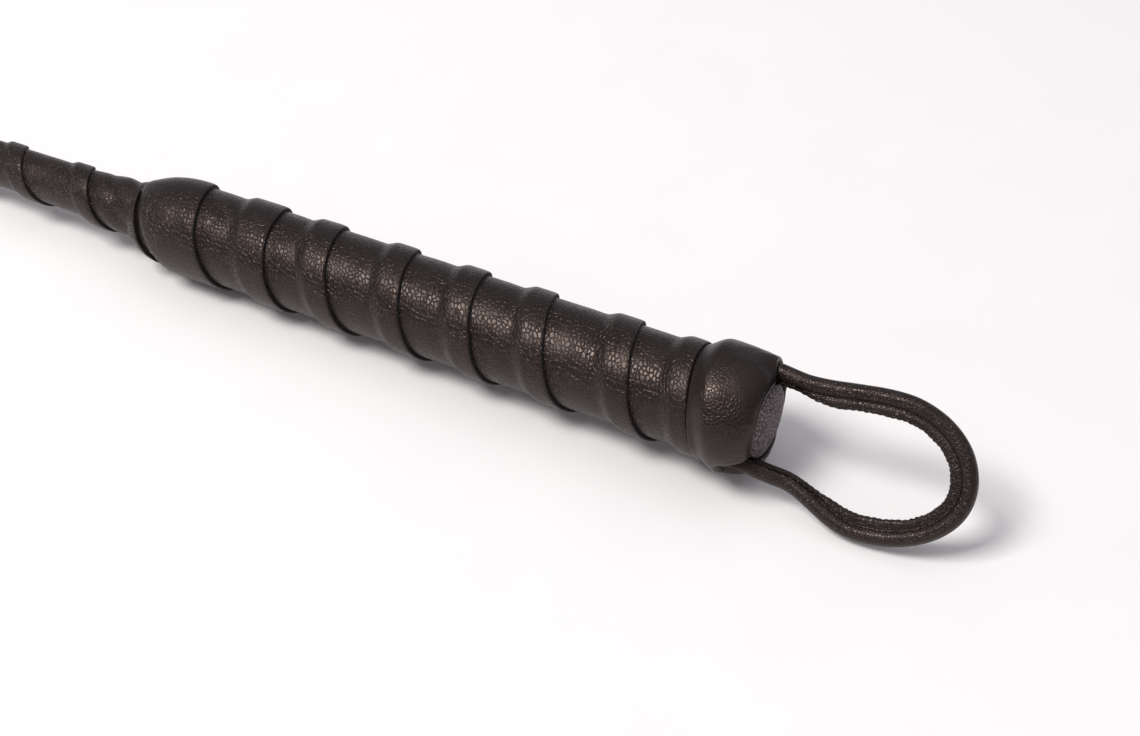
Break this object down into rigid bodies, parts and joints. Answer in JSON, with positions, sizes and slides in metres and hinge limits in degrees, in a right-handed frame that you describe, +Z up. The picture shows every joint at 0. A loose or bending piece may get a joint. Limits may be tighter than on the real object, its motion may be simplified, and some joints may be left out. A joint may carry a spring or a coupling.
{
  "type": "riding crop",
  "caption": "Leather-wrapped riding crop with a padded handle, a knob with a hanging loop at the butt, and a flat leather keeper at the tip.",
  "frame": {"origin": "the centre of the bottom of the crop's box, on the table it lies on", "axes": "+X runs along the crop from the keeper to the butt and its loop, +Z is up off the table, and +Y completes a right-handed frame"},
  "size_m": [0.719, 0.0336, 0.0351],
  "materials": {
    "wrap_leather": "black strip leather, finely grained, satin",
    "loop_leather": "black leather folded round a cord, satin",
    "keeper_leather": "black leather, satin",
    "disc_leather": "dark pebble-grained leather, low sheen",
    "loop_cord": "twisted linen cord",
    "whipping_thread": "waxed black thread",
    "felt": "grey wool felt",
    "grip_wood": "turned beech",
    "fibreglass_rod": "drawn fibreglass, matt",
    "linen": "wound linen tape, glued",
    "tack_steel": "plain steel",
    "tip_cap": "pressed steel"
  },
  "bodies": {
    "crop": {"handle_wrap": "wrap_leather", "shaft_wrap": "wrap_leather", "knob_cover": "wrap_leather", "keeper_neck": "wrap_leather", "loop_tab_upper": "loop_leather", "loop_tab_lower": "loop_leather", "end_disc": "disc_leather", "tip_whipping": "whipping_thread", "end_pad": "felt", "knob_buildup": "felt", "handle_padding": "felt", "handle_core": "grip_wood", "bore_plug": "grip_wood", "shaft_core": "fibreglass_rod", "shaft_filler": "linen", "loop_tack_1": "tack_steel", "loop_tack_2": "tack_steel", "loop_tack_3": "tack_steel", "loop_tack_4": "tack_steel", "tip_cap": "tip_cap"},
    "loop": {"loop_strap": "loop_leather", "loop_cord": "loop_cord"},
    "keeper": {"keeper_leaf_top": "keeper_leather", "keeper_leaf_bottom": "keeper_leather"}
  },
  "joints": [
    {"name": "loop_swing", "type": "hinge", "parent": "crop", "child": "loop", "pos_m": [0.30579, 0, 0.0185], "axis": [-0.0165, 0.5736, 0.819], "range_deg": [-70, 70]},
    {"name": "keeper_flex", "type": "hinge", "parent": "crop", "child": "keeper", "pos_m": [-0.29948, 0, 0.00628], "axis": [0, 1, 0], "range_deg": [-60, 60], "stiffness_Nm_per_rad": 0.05}
  ]
}
